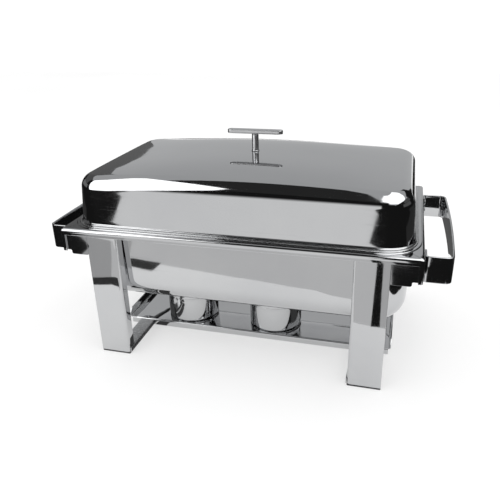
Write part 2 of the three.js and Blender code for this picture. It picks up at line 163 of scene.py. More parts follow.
def polished_steel(name, light, dark, smooth, dull, ripple=0.25):
    """Mirror-polished sheet: faint ripple of the pressing, wiping marks, hairlines and dull patches."""
    nodes = Nodes(name)
    nodes.shader.inputs["Metallic"].default_value = 1.0
    cloudy = nodes.noise(nodes.place, 7.0, 4.0, 0.55, 0.6)
    fine = nodes.noise(nodes.place, 95.0, 3.0, 0.6)
    wiped = nodes.noise(nodes.stretched((6.0, 40.0, 22.0), (0.2, 0.1, 0.5)), 1.0, 4.0, 0.6, 0.8)
    hairs = nodes.math("MAXIMUM", scratches(nodes, (9, 900, 900), (0, 0, 0.02), 0.66),
                       scratches(nodes, (700, 12, 700), (0.1, 0, 0.4), 0.69))
    colour = nodes.blend(nodes.remap(cloudy, 0.3, 0.7, 0.0, 1.0), light, dark)
    colour = nodes.blend(nodes.math("MULTIPLY", hairs, 0.25), colour, tuple(c * 0.8 for c in dark))
    base = nodes.remap(wiped, 0.35, 0.75, smooth, dull)
    grain = nodes.math("MULTIPLY", fine, (dull - smooth) * 0.5)
    worn = nodes.math("MULTIPLY", hairs, 0.10)
    roughness = nodes.math("ADD", nodes.math("ADD", base, grain), worn)
    rippled = nodes.bump(nodes.noise(nodes.place, 13.0, 1.0, 0.4), ripple, 0.0006)
    normal = nodes.bump(hairs, 0.12, 0.00002, rippled)
    return nodes.finish(colour, roughness, normal)


def brushed_steel(name, light, dark, smooth, dull, along, depth=0.25):
    """Satin sheet with a fine grain in one direction, softer patches and a few scratches across it."""
    nodes = Nodes(name)
    nodes.shader.inputs["Metallic"].default_value = 1.0
    grain = nodes.noise(nodes.stretched(along), 1.0, 5.0, 0.7)
    patches = nodes.noise(nodes.place, 11.0, 3.0, 0.5, 0.4)
    marks = scratches(nodes, (380, 14, 380), (0.3, 0.1, 0.9), 0.68)
    colour = nodes.blend(nodes.remap(grain, 0.3, 0.7, 0.0, 1.0), light, dark)
    base = nodes.remap(patches, 0.3, 0.7, smooth, dull)
    streaks = nodes.remap(grain, 0.3, 0.7, -0.05, 0.06)
    roughness = nodes.math("ADD", nodes.math("ADD", base, streaks), nodes.math("MULTIPLY", marks, 0.12))
    low = nodes.bump(grain, depth, 0.00005)
    normal = nodes.bump(marks, 0.2, 0.00004, low)
    return nodes.finish(colour, roughness, normal)


def gel_material():
    nodes = Nodes("gel_fuel")
    nodes.shader.inputs["IOR"].default_value = 1.36
    nodes.shader.inputs["Coat Weight"].default_value = 0.6
    nodes.shader.inputs["Coat Roughness"].default_value = 0.05
    swirl = nodes.noise(nodes.place, 60.0, 4.0, 0.6, 1.5)
    bubbles = nodes.noise(nodes.place, 420.0, 2.0, 0.5)
    colour = nodes.blend(nodes.remap(swirl, 0.3, 0.7, 0.0, 1.0), (0.10, 0.28, 0.52), (0.28, 0.50, 0.70))
    roughness = nodes.remap(swirl, 0.2, 0.8, 0.12, 0.30)
    normal = nodes.bump(bubbles, 0.35, 0.0006, nodes.bump(swirl, 0.5, 0.002))
    return nodes.finish(colour, roughness, normal)


def rubber_material():
    nodes = Nodes("foot_rubber")
    dust = nodes.noise(nodes.place, 45.0, 5.0, 0.65)
    pores = nodes.noise(nodes.place, 900.0, 2.0, 0.6)
    colour = nodes.blend(nodes.remap(dust, 0.45, 0.75, 0.0, 1.0), (0.022, 0.022, 0.024), (0.10, 0.10, 0.10))
    roughness = nodes.remap(dust, 0.3, 0.8, 0.62, 0.85)
    return nodes.finish(colour, roughness, nodes.bump(pores, 0.4, 0.0002))


def floor_material():
    nodes = Nodes("floor_paint")
    nodes.shader.inputs["Emission Color"].default_value = (1, 1, 1, 1)
    nodes.shader.inputs["Emission Strength"].default_value = 0.5
    cloud = nodes.noise(nodes.place, 1.5, 3.0, 0.5)
    colour = nodes.blend(cloud, (0.47, 0.47, 0.47), (0.50, 0.50, 0.50))
    return nodes.finish(colour, nodes.remap(cloud, 0.3, 0.7, 0.75, 0.85))


LIGHT, MIDDLE, DARK = (0.56, 0.565, 0.57), (0.52, 0.525, 0.535), (0.51, 0.515, 0.525)
LID_STEEL = polished_steel("lid_steel", (0.54, 0.545, 0.55), DARK, 0.02, 0.06, 0.12)
RIM_STEEL = polished_steel("rim_steel", LIGHT, DARK, 0.03, 0.07, 0.15)
LEG_STEEL = polished_steel("leg_steel", LIGHT, MIDDLE, 0.02, 0.05, 0.2)
PAN_STEEL = polished_steel("water_pan_steel", LIGHT, MIDDLE, 0.02, 0.06, 0.25)
KNOB_STEEL = polished_steel("knob_steel", LIGHT, DARK, 0.26, 0.36, 0.1)
CUP_STEEL = polished_steel("holder_steel", LIGHT, DARK, 0.04, 0.10, 0.2)
FOOD_STEEL = brushed_steel("food_pan_steel", (0.58, 0.585, 0.59), (0.49, 0.495, 0.50), 0.20, 0.30,
                           (14, 700, 700))
SATIN_STEEL = brushed_steel("satin_steel", (0.60, 0.605, 0.61), (0.48, 0.485, 0.49), 0.22, 0.34,
                            (25, 800, 800))
TINPLATE = brushed_steel("tinplate", (0.66, 0.65, 0.61), (0.56, 0.545, 0.50), 0.24, 0.38, (600, 600, 20))
GEL = gel_material()
RUBBER = rubber_material()


# ---- Mesh helpers --------------------------------------------------------------------------------

ON_AXIS = 1e-6
BOTH = (True, True)


def new_piece(name, mesh, material, body, nodes, sharp=35, bevel=0.0):
    """Turns a mesh in millimetres into a smooth-shaded piece in metres that stands for CAD nodes."""
    data = bpy.data.meshes.new(name)
    bmesh.ops.scale(mesh, vec=(MM, MM, MM), verts=mesh.verts)
    bmesh.ops.recalc_face_normals(mesh, faces=mesh.faces)
    mesh.to_mesh(data)
    mesh.free()
    data.materials.append(material)
    data.polygons.foreach_set("use_smooth", [True] * len(data.polygons))
    obj = bpy.data.objects.new(name, data)
    bpy.context.scene.collection.objects.link(obj)
    if bevel:
        rounding = obj.modifiers.new("edges", "BEVEL")
        rounding.width = bevel * MM
        rounding.segments = 2
        rounding.limit_method = "ANGLE"
        rounding.angle_limit = math.radians(50)
        rounding.harden_normals = True
    data.set_sharp_from_angle(angle=math.radians(sharp))
    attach(obj, body)
    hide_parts(*nodes)


def add_rings(mesh, rings, closed=False, caps=(False, False)):
    """Quads between rings of equal length. Caps fill the first or the last ring."""
    loops = [[mesh.verts.new(p) for p in ring] for ring in rings]
    pairs = list(zip(loops, loops[1:]))
    if closed:
        pairs.append((loops[-1], loops[0]))
    count = len(loops[0])
    for low, high in pairs:
        for i in range(count):
            j = (i + 1) % count
            mesh.faces.new((low[i], low[j], high[j], high[i]))
    if caps[0]:
        mesh.faces.new(reversed(loops[0]))
    if caps[1]:
        mesh.faces.new(loops[-1])
    return mesh


def rounded_rectangle(half_length, half_depth, corner, turn_steps=14, long_steps=36, short_steps=20):
    """Points round a rectangle with round corners, counter-clockwise, with points on the straights."""
    points = []
    quarters = ((1, 1), (-1, 1), (-1, -1), (1, -1))
    for quarter, (sx, sy) in enumerate(quarters):
        centre = (sx * (half_length - corner), sy * (half_depth - corner))
        for i in range(turn_steps):
            angle = math.pi / 2 * (quarter + i / turn_steps)
            points.append((centre[0] + corner * math.cos(angle), centre[1] + corner * math.sin(angle)))
        angle = math.pi / 2 * (quarter + 1)
        nx, ny = quarters[(quarter + 1) % 4]
        start = (centre[0] + corner * math.cos(angle), centre[1] + corner * math.sin(angle))
        end = (nx * (half_length - corner) + corner * math.cos(angle),
               ny * (half_depth - corner) + corner * math.sin(angle))
        steps = long_steps if quarter % 2 == 0 else short_steps
        for i in range(steps):
            share = i / steps
            points.append((start[0] + (end[0] - start[0]) * share, start[1] + (end[1] - start[1]) * share))
    return points


def turns(whole, steps):
    """Even angles from 0 to the whole, in radians, with both ends."""
    return [whole * i / steps for i in range(steps + 1)]


def circle(sides):
    """Even angles once round, in radians."""
    return turns(2 * math.pi, sides)[:-1]


def lathe(mesh, profile, centre, sides=96):
    """A turned closed skin from (radius, height) pairs. A radius of 0 at either end closes on the axis."""
    x, y, z = centre
    rings = [[(x + radius * math.cos(t), y + radius * math.sin(t), z + height) for t in circle(sides)]
             for radius, height in profile if radius > ON_AXIS]
    return add_rings(mesh, rings, caps=(profile[0][0] < ON_AXIS, profile[-1][0] < ON_AXIS))


def arc(centre, radius, start, end, steps=5):
    """Points on a circle in the profile plane, with angles in degrees."""
    angles = [math.radians(start + (end - start) * i / steps) for i in range(steps + 1)]
    return [(centre[0] + radius * math.cos(a), centre[1] + radius * math.sin(a)) for a in angles]


def extruded(mesh, outline, low, high, axis="z", steps=1):
    """A closed outline carried from low to high along an axis."""
    def place(a, b, c):
        return {"z": (a, b, c), "y": (a, c, b), "x": (c, a, b)}[axis]

    levels = [low + (high - low) * i / steps for i in range(steps + 1)]
    return add_rings(mesh, [[place(a, b, level) for a, b in outline] for level in levels], caps=BOTH)


def strip(line, thickness):
    """The closed outline of a sheet of even thickness along an open line in a plane."""
    left, right = [], []
    for i, (x, y) in enumerate(line):
        ax, ay = line[max(i - 1, 0)]
        bx, by = line[min(i + 1, len(line) - 1)]
        length = math.hypot(bx - ax, by - ay)
        nx, ny = -(by - ay) / length * thickness / 2, (bx - ax) / length * thickness / 2
        left.append((x + nx, y + ny))
        right.append((x - nx, y - ny))
    return left + right[::-1]


def mirrored(mesh, side_x, side_y):
    """Mirrors a piece drawn at the front right over to its own side and end."""
    bmesh.ops.scale(mesh, vec=(side_x, side_y, 1), verts=mesh.verts)


# ---- Stand ---------------------------------------------------------------------------------------

# From here to the studio, lengths are in millimetres, and new_piece scales them to metres.
# GAP is the space between neighbouring solids of the CAD model.
GAP = 0.3
RIM_X, RIM_Y, RIM_TOP, SHEET = 276.0, 169.0, 222.0, 2.0
OPEN_X, OPEN_Y = 262.5, 149.5
FRONT_SKIRT, END_SKIRT, RETURN = 11.0, 38.0, 7.0
FACE = RIM_Y - SHEET - GAP
LEG_OUT, LEG_IN, LEG_DEEP = 232.5, 181.5, 17.5


def rim_path():
    """Points round the rim, each with the height of the skirt's lower edge below it."""
    path = []
    corner, low_end, low_front = 3.0, RIM_TOP - END_SKIRT, RIM_TOP - FRONT_SKIRT
    step = RIM_X - RETURN
    for quarter, (sx, sy) in enumerate(((1, 1), (-1, 1), (-1, -1), (1, -1))):
        for i in range(7):
            angle = math.pi / 2 * (quarter + i / 6)
            x = sx * (RIM_X - corner) + corner * math.cos(angle)
            y = sy * (RIM_Y - corner) + corner * math.sin(angle)
            path.append((x, y, low_end))
        if quarter % 2 == 0:
            y = sy * RIM_Y
            inner = [step - (2 * step) * i / 40 for i in range(41)]
            path.append((sx * (step + 0.25), y, low_end))
            path.extend((sx * x, y, low_front) for x in inner)
            path.append((-sx * (step + 0.25), y, low_end))
        else:
            x = sx * RIM_X
            run = RIM_Y - corner
            path.extend((x, sy * run * (1 - 2 * i / 24), low_end) for i in range(1, 24))
    return path


def inner_edge(x, y, corner=46.0):
    """Where a point of the rim falls on the edge of the pans' opening."""
    px, py = x * OPEN_X / RIM_X, y * OPEN_Y / RIM_Y
    cx, cy = OPEN_X - corner, OPEN_Y - corner
    if abs(px) > cx and abs(py) > cy:
        dx, dy = abs(px) - cx, abs(py) - cy
        length = math.hypot(dx, dy) or 1.0
        return math.copysign(cx + dx / length * corner, px), math.copysign(cy + dy / length * corner, py)
    return (math.copysign(OPEN_X, px), py) if abs(px) > cx else (px, math.copysign(OPEN_Y, py))


def rim():
    """The rim: a flat top with an opening, and skirts that are deep at the ends and narrow elsewhere."""
    path = rim_path()
    bend = 4.5
    beside = 3.5    # a point this near an edge belongs to the skirt there

    def ring(inset, height=None, below=None):
        points = []
        for x, y, low in path:
            px = x - math.copysign(min(inset, abs(x)), x) * (abs(x) > RIM_X - beside)
            py = y - math.copysign(min(inset, abs(y)), y) * (abs(y) > RIM_Y - beside)
            points.append((px, py, height if below is None else low + below))
        return points

    def opening(height, grow=0.0):
        points = []
        for x, y, _ in path:
            ix, iy = inner_edge(x, y)
            points.append((ix * (1 + grow / OPEN_X), iy * (1 + grow / OPEN_Y), height))
        return points

    rings = [opening(RIM_TOP - SHEET + 0.4), opening(RIM_TOP - 0.5), opening(RIM_TOP - 0.1, 0.3),
             opening(RIM_TOP, 0.9)]
    for angle in (90, 72, 54, 36, 18, 0):
        turn = math.radians(angle)
        rings.append(ring(bend * (1 - math.cos(turn)), RIM_TOP - bend * (1 - math.sin(turn))))
    rings += [ring(0.0, below=0.8), ring(0.15, below=0.2), ring(0.6, below=0.0),
              ring(SHEET - 0.6, below=0.0), ring(SHEET - 0.15, below=0.2), ring(SHEET, below=0.8)]
    rings += [ring(SHEET, RIM_TOP - SHEET - 1.0), ring(SHEET + 0.6, RIM_TOP - SHEET)]
    rings += [opening(RIM_TOP - SHEET, 0.6)]
    mesh = add_rings(bmesh.new(), rings, closed=True)
    new_piece("stand_rim", mesh, RIM_STEEL, "stand",
              ["front_rail", "back_rail", "left_end_rail", "right_end_rail"], sharp=40)


def leg(side, sx, end, ey):
    """An angle of folded sheet with a wide bend between its broad face and its return."""
    bend = turns(math.pi / 2, 10)
    outer = [(LEG_IN + 5 - 5 * math.sin(a), 5 - 5 * math.cos(a)) for a in bend]
    inner = [(LEG_IN + 5 - 3 * math.cos(a), 5 - 3 * math.sin(a)) for a in bend]
    section = [(LEG_OUT, 0.0), *outer, (LEG_IN, LEG_DEEP)]
    section += [(LEG_IN + SHEET, LEG_DEEP), *inner, (LEG_OUT, SHEET)]
    outline = [(x, -FACE + y) for x, y in section]
    mesh = extruded(bmesh.new(), outline, 3.0, RIM_TOP - SHEET - GAP, steps=24)
    mirrored(mesh, sx, -ey)
    new_piece(f"leg_{end}_{side}_sheet", mesh, LEG_STEEL, "stand",
              [f"leg_{end}_{side}"], bevel=0.35)


def foot_pad(side, sx, end, ey):
    """A moulded pad with a chamfered sole and a plug inside the angle."""
    mesh = bmesh.new()

    def corner_block(x0, x1, y0, y1, corner, rows):
        cx, cy, hx, hy = (x0 + x1) / 2, (y0 + y1) / 2, (x1 - x0) / 2, (y1 - y0) / 2
        rings = []
        for inset, height in rows:
            line = rounded_rectangle(hx - inset, hy - inset, max(corner - inset, 0.3), 6, 6, 3)
            rings.append([(cx + x, cy + y, height) for x, y in line])
        add_rings(mesh, rings, caps=BOTH)

    corner_block(LEG_IN, LEG_OUT, -FACE, -FACE + LEG_DEEP, 1.6,
                 [(1.1, 0.0), (0.5, 0.15), (0.1, 0.7), (0.0, 1.3), (0.0, 2.2), (0.4, 2.7)])
    corner_block(LEG_IN + 2.3, LEG_OUT - 2.3, -FACE + 2.3, -FACE + LEG_DEEP, 1.4,
                 [(0.0, 2.5), (0.0, 12.6), (0.4, 13.4), (1.2, 13.7)])
    mirrored(mesh, sx, -ey)
    new_piece(f"foot_{end}_{side}", mesh, RUBBER, "stand", [f"foot_pad_{end}_{side}"])


def corner_plate(side, sx, end, ey):
    """The plate that ties a leg to the end of the rim, notched at its lower outer corner."""
    x0, top = LEG_OUT + GAP, RIM_TOP - SHEET - GAP
    x1, low = x0 + 40.0, top - 41.0
    step = x1 - 11.0
    outline = [(x0, top), (x0, low + 1.5), (x0 + 1.5, low), (step - 4, low)]
    outline += [(step - 3 + 3 * math.sin(a), low + 3 - 3 * math.cos(a)) for a in turns(math.pi / 2, 8)]
    outline += [(step, low + 5.8), (step + 1.2, low + 7), (x1 - 2, low + 7), (x1, low + 9), (x1, top)]
    mesh = extruded(bmesh.new(), outline, -FACE, -FACE + 1.7, axis="y")
    mirrored(mesh, sx, -ey)
    new_piece(f"corner_plate_{end}_{side}_sheet", mesh, RIM_STEEL, "stand",
              [f"corner_plate_{end}_{side}"], bevel=0.35)


# ---- Handles -------------------------------------------------------------------------------------

STRAP_OUT, STRAP_Y, STRAP_TOP, STRAP_TALL, STRAP_THICK = 43.0, 139.0, 214.0, 40.0, 3.0


def strap_line():
    """The middle line of the right handle from above: foot, arm, bowed grip, arm, foot."""
    inner = RIM_X + GAP + STRAP_THICK / 2
    bow, bend = 3.0, 9.0
    outer = RIM_X + STRAP_OUT - bow - STRAP_THICK / 2
    arm = STRAP_Y - STRAP_THICK / 2
    half = [(inner, arm - 24 + 2 * i) for i in range(9)]
    for turn in turns(math.pi / 2, 8):
        half.append((inner + 4 * (1 - math.cos(turn)), arm - 4 + 4 * math.sin(turn)))
    for i in range(13):
        turn = math.pi / 2 * (1 - i / 12)
        half.append((outer - bend + bend * math.cos(turn), arm - bend + bend * math.sin(turn)))
    grip = arm - bend
    for i in range(1, 21):
        y = grip * (1 - i / 20)
        half.append((outer + bow * (1 - (y / grip) ** 2), y))
    return half + [(x, -y) for x, y in half[-2::-1]]


def strap_handle(side, sx):
    """A flat bar with eased edges, bent to a bow and closed at both feet."""
    line = strap_line()
    half, tall = STRAP_THICK / 2, STRAP_TALL / 2
    ease = 0.9
    section = []
    for cx, cy, start in ((half - ease, tall - ease, 0), (-half + ease, tall - ease, 90),
                          (-half + ease, -tall + ease, 180), (half - ease, -tall + ease, 270)):
        section += arc((cx, cy), ease, start, start + 90, 4)
    rings = []
    for i, (x, y) in enumerate(line):
        ax, ay = line[max(i - 1, 0)]
        bx, by = line[min(i + 1, len(line) - 1)]
        length = math.hypot(bx - ax, by - ay)
        nx, ny = -(by - ay) / length, (bx - ax) / length
        middle = STRAP_TOP - tall
        rings.append([(x + nx * a, y + ny * a, middle + b) for a, b in section])
    mesh = add_rings(bmesh.new(), rings, caps=BOTH)
    mirrored(mesh, sx, 1)
    new_piece(f"{side}_handle_strap", mesh, RIM_STEEL, "stand", [f"{side}_handle"])


def rivet(side, sx, end, ey, level, height):
    """A domed rivet with a dimple left by the snap, and a flat closing head inside."""
    inside, outside = RIM_X - SHEET - GAP, RIM_X + STRAP_THICK + 2 * GAP
    grip = outside - inside
    dome = grip + 0.25
    profile = [(0, -1.1), (3.4, -1.1), (3.9, -0.8), (4.0, -0.3), (3.9, 0.0), (2.5, 0.0)]
    profile += [(2.5, grip), (4.9, grip), (5.0, dome)]
    profile += [(5.0 * math.cos(a), dome + 1.9 * math.sin(a)) for a in turns(math.pi / 2, 8)[1:-1]]
    profile += [(0.6, grip + 2.1), (0, grip + 2.1)]
    mesh = lathe(bmesh.new(), profile, (0, 0, 0), 40)
    bmesh.ops.rotate(mesh, cent=(0, 0, 0), matrix=Matrix.Rotation(math.pi / 2, 3, "Y"), verts=mesh.verts)
    bmesh.ops.translate(mesh, vec=(inside, ey * (STRAP_Y - 14.0), height), verts=mesh.verts)
    mirrored(mesh, sx, 1)
    node = f"{side}_handle_rivet_{end}_{level}"
    new_piece(f"{node}_domed", mesh, SATIN_STEEL, "stand", [node])


# ---- Fuel shelf ----------------------------------------------------------------------------------

SHELF_MIDDLE, SHELF_X, SHELF_Y, SHELF_UNDER, SHELF_SHEET = 8.0, 235.0, 71.0, 11.8, 1.5
SHELF_TOP = SHELF_UNDER + SHELF_SHEET


def fuel_shelf():
    """The shelf: a channel folded down at the front and back, with a lip turned up at each end."""
    half = SHELF_SHEET / 2
    bend, reach, level = 2.4, SHELF_Y - half, SHELF_TOP - half
    low = SHELF_TOP - 11.3
    side = [(reach, low)] + arc((reach - bend, level - bend), bend, 0, 90, 6)
    line = side + [(y, level) for y in (40, 20, 0, -20, -40)] + [(-y, z) for y, z in reversed(side)]
    mesh = extruded(bmesh.new(), strip(line, SHELF_SHEET), -SHELF_X + 4.2, SHELF_X - 4.2, axis="x", steps=30)
    for _, sx in SIDES:
        fold = [(sx * (SHELF_X - 12), level - 0.02)]
        fold += [(sx * x, z) for x, z in arc((SHELF_X - half - 3, level + 3), 3, 270, 360, 7)]
        fold += [(sx * (SHELF_X - half), SHELF_TOP + z) for z in (7, 11, 15)]
        steps = 20
        outline = strip(fold, SHELF_SHEET)
        rings = []
        for i in range(steps + 1):
            share = i / steps * 2 - 1
            y = share * (SHELF_Y - 0.2)
            drop = max(0.0, abs(y) - (SHELF_Y - 8)) ** 2 / 8
            rings.append([(x, y, z - drop * max(0.0, (z - SHELF_TOP - 5) / 10)) for x, z in outline])
        add_rings(mesh, rings, caps=BOTH)
    bmesh.ops.translate(mesh, vec=(SHELF_MIDDLE, 0, 0), verts=mesh.verts)
    new_piece("fuel_shelf_tray", mesh, LEG_STEEL, "stand", ["fuel_shelf"], bevel=0.25)


def shelf_rail(side, sx):
    """The angle between a front foot and a back foot."""
    top, inner, sheet = SHELF_UNDER - GAP, 179.7, 1.5
    mesh = bmesh.new()

    def flange(x0, x1, low, reach):
        extruded(mesh, [(x0, low), (x1, low), (x1, top), (x0, top)], -reach, reach, axis="y", steps=12)

    flange(inner, inner + sheet, top - 8.5, 164.4)
    flange(inner + 0.7, inner + 25.0, top - sheet, RIM_Y - SHEET - LEG_DEEP - 0.9)
    mirrored(mesh, sx, 1)
    new_piece(f"{side}_shelf_angle", mesh, SATIN_STEEL, "stand", [f"{side}_shelf_rail"],
              bevel=0.3)


# ---- Burners -------------------------------------------------------------------------------------

CUP_Y, CUP_RADIUS, CUP_WALL, CUP_TALL = -22.0, 46.0, 1.2, 57.0
CUP_BASE = SHELF_TOP + GAP
CUP_TOP = CUP_BASE + CUP_TALL
PIVOT_Y = CUP_Y + 51.0
CAN_BASE = CUP_BASE + CUP_WALL + GAP
DAMPER_BASE = CUP_TOP + 1.0


def fuel_holder(side, x):
    """A spun cup with a round foot, a rolled lip, a raised band and the lug of the snuffer."""
    r, w = CUP_RADIUS, CUP_WALL
    profile = [(0, 0.6), (r - 14, 0.6), (r - 11, 0.0)] + arc((r - 5, 5), 5, 270, 360, 8)
    profile += [(r, 16), (r, 40), (r - 0.3, 44.6), (r - 0.1, 45.4)]
    profile += arc((r - 0.5, 46.6), 0.5, -60, 60, 4) + [(r - 0.3, 48.6), (r - 0.1, CUP_TALL - 1.6)]
    profile += arc((r - w / 2, CUP_TALL - 0.75), w / 2 + 0.1, 0, 180, 8)
    profile += [(r - w, CUP_TALL - 2), (r - w, 8)] + arc((r - w - 4, 4 + w), 4, 0, -90, 6)
    profile += [(r - 14, w + 0.02), (0, w + 0.02)]
    mesh = lathe(bmesh.new(), profile, (x, CUP_Y, CUP_BASE), 112)
    outline = [(x - 5, CUP_Y + r - 0.9), (x + 5, CUP_Y + r - 0.9)]
    outline += [(x + 5 * math.cos(a), PIVOT_Y - 0.5 + 5 * math.sin(a)) for a in turns(math.pi, 14)]
    extruded(mesh, outline, CUP_TOP - 12, CUP_TOP)
    new_piece(f"burner_cup_{side}", mesh, CUP_STEEL, f"fuel_holder_{side}",
              [f"fuel_holder_{side}"])


def fuel_can(side, x):
    """The tin: pressed beads round the side, a seamed shoulder and an open mouth with a curled lip."""
    r, w, h, mouth = 43.0, 0.8, 52.0, 24.0
    profile = [(0, 0.8), (r - 6, 0.8), (r - 4, 0.0), (r - 1.5, 0.0)] + arc((r - 1.2, 1.2), 1.2, -90, 0, 4)
    for level in (14, 20, 26, 32, 38):
        profile += [(r - 0.2, level - 2), (r - 0.75, level - 0.8)]
        profile += [(r - 0.75, level + 0.8), (r - 0.2, level + 2)]
    profile += arc((r - 1.2, h - 1.2), 1.2, 0, 110, 5) + [(r - 3.2, h - 2.0), (mouth + 3, h - 1.6)]
    profile += arc((mouth + 0.9, h - 0.9), 0.9, 90, 200, 6)
    profile += [(mouth + 0.8, h - 2.8), (r - 4, h - 2.9), (r - w - 0.7, h - 4), (r - w - 0.7, 4)]
    profile += [(r - 4, w + 0.9), (0, w + 0.9)]
    mesh = lathe(bmesh.new(), profile, (x, CUP_Y, CAN_BASE), 96)
    new_piece(f"burner_tin_{side}", mesh, TINPLATE, f"fuel_holder_{side}", [f"fuel_can_{side}"])


def fuel_gel(side, x):
    """The gel, with a raised edge where it clings to the tin and a shallow scoop in its top."""
    r, h = 41.0, 40.0
    base = CAN_BASE + 1.8
    around = circle(72)
    side_rows = ((0.95, 0.1), (1.0, 2.0), (1.0, h), (0.985, h + 0.4), (0.95, h - 0.6), (0.9, h - 0.9))
    rings = [[(x + s * r * math.cos(t), CUP_Y + s * r * math.sin(t), base + z) for t in around]
             for s, z in side_rows]
    for s in (0.75, 0.6, 0.45, 0.3, 0.15):
        rings.append([(x + s * r * math.cos(t), CUP_Y + s * r * math.sin(t),
                       base + h - 1.0 - 0.7 * math.sin(3 * t + 5 * s) * s - 1.2 * (1 - s) ** 2)
                      for t in around])
    mesh = add_rings(bmesh.new(), rings, caps=BOTH)
    new_piece(f"burner_gel_{side}", mesh, GEL, f"fuel_holder_{side}", [f"fuel_gel_{side}"],
              sharp=70)


def damper(side, x):
    """The snuffer: a dished disc with a pressed ring, a tapered arm, an eye and a turned-up tab."""
    mesh = bmesh.new()
    r, w = 27.0, 1.2
    top = [(r, 0.35), (r - 0.1, w - 0.3), (r - 0.5, w), (r - 4, w), (r - 5, w + 0.45), (r - 6.5, w + 0.45),
           (r - 7.5, w), (9, w), (7.5, w - 0.35), (0, w - 0.35)]
    profile = [(0, 0.0), (7.5, 0.0), (r - 0.4, 0.0)] + top
    lathe(mesh, profile, (x, CUP_Y, DAMPER_BASE), 96)
    eye = [(x + 6 * math.cos(a), PIVOT_Y + 6 * math.sin(a)) for a in turns(math.pi, 16)]
    arm = [(x + 9, CUP_Y + 21)] + eye + [(x - 9, CUP_Y + 21)]
    extruded(mesh, arm, DAMPER_BASE + 0.02, DAMPER_BASE + w - 0.02)
    front = CUP_Y - r - 1
    line = [(front + 6, 0.6), (front + 3.2, 0.6)]
    line += [(front + 2.6 - 2 * math.sin(a), 2.6 - 2 * math.cos(a)) for a in turns(math.pi / 2, 6)]
    line += [(front + 0.6, 6.9)]
    outline = [(y, DAMPER_BASE + z) for y, z in strip(line, w)]
    rings = []
    steps = 12
    for i in range(steps + 1):
        share = i / steps * 2 - 1
        drop = 1.6 * abs(share) ** 4
        rings.append([(x + share * 6, y, z - drop * max(0.0, (z - DAMPER_BASE - 4) / 3)) for y, z in outline])
    add_rings(mesh, rings, caps=BOTH)
    new_piece(f"snuffer_{side}", mesh, SATIN_STEEL, f"damper_{side}", [f"damper_cover_{side}"],
              bevel=0.2)


def pivot(side, x):
    """The pin of the snuffer, with a domed head above and a peened end below."""
    low = CUP_TOP - 12.3
    grip = DAMPER_BASE + 1.5 - low
    dome = grip + 0.4
    profile = [(0, -1), (2.6, -1), (3.2, -0.6), (3.2, 0), (2.4, 0), (2.4, grip), (4.1, grip), (4.2, dome)]
    profile += [(4.2 * math.cos(a), dome + 1.2 * math.sin(a)) for a in turns(math.pi / 2, 6)[1:-1]]
    profile += [(0, grip + 1.6)]
    mesh = lathe(bmesh.new(), profile, (x, PIVOT_Y, low), 32)
    new_piece(f"snuffer_pin_{side}", mesh, SATIN_STEEL, f"fuel_holder_{side}",
              [f"damper_pivot_{side}"])


# ---- Pans ----------------------------------------------------------------------------------------

WATER_BASE = RIM_TOP + GAP
FOOD_BASE = WATER_BASE + 1.3
LID_BASE = FOOD_BASE + 1.1


def pan(name, node, body, material, dims, base, steps):
    """A drawn pan: a flat rim with eased edges, a rolled shoulder, a drafted wall and a dished bottom."""
    rim_x, rim_y, rim_r, hx, hy, hr, depth, draft, radius, sheet = dims
    floor = base + sheet - depth
    mesh = bmesh.new()

    def outline(into):
        return rounded_rectangle(hx - into, hy - into, max(hr - into, 6.0))

    def ring(into, height):
        return [(x, y, height) for x, y in outline(into)]

    def edge(into, height):
        line = rounded_rectangle(rim_x - into, rim_y - into, rim_r - into)
        return [(x, y, height) for x, y in line]

    def skin(inset):
        deep = radius - inset
        low = floor + inset
        under = base if inset == 0 else base + sheet
        fillet = 1.6 if inset == 0 else 2.4
        rings = []
        for turn in turns(math.pi / 2, 5):
            rings.append(ring(inset - fillet * (1 - math.sin(turn)), under - fillet * (1 - math.cos(turn))))
        top = under - fillet
        for i in range(1, 6):
            share = i / 6
            level = top + (low + deep - top) * share
            rings.append(ring(inset + draft * share, level))
        for turn in turns(math.pi / 2, 12):
            rings.append(ring(inset + draft + deep * (1 - math.cos(turn)), low + deep * (1 - math.sin(turn))))
        line = outline(inset + draft + deep)
        for share, lift in steps:
            rings.append([(x * share, y * share, low + lift) for x, y in line])
        return rings

    outside = skin(0.0)[::-1]
    lip = [edge(0.3, base), edge(0.04, base + 0.06), edge(0.0, base + 0.14), edge(0.08, base + 0.26),
           edge(0.56 * sheet, base + sheet - 0.14), edge(0.75 * sheet, base + sheet - 0.03),
           edge(1.1 * sheet, base + sheet)]
    add_rings(mesh, outside + lip + skin(sheet), caps=BOTH)
    new_piece(name, mesh, material, body, [node + "_body", node + "_rim"], sharp=50)


# ---- Lid -----------------------------------------------------------------------------------------

LID_X, LID_Y, LID_R, LID_FLANGE, LID_SHEET = 262.0, 151.0, 42.0, 2.5, 1.0
SHOULDER, SHOULDER_R, DRAFT, CROWN = 73.0, 19.0, 4.8, 19.0
LID_TOP = LID_BASE + SHOULDER + CROWN
LID_STEPS = (18, 44, 24)


def crown(x, y):
    """How far the domed top stands above the lid's edge at a point."""
    return CROWN * (1 - (x / LID_X) ** 2) * (1 - (y / LID_Y) ** 4)


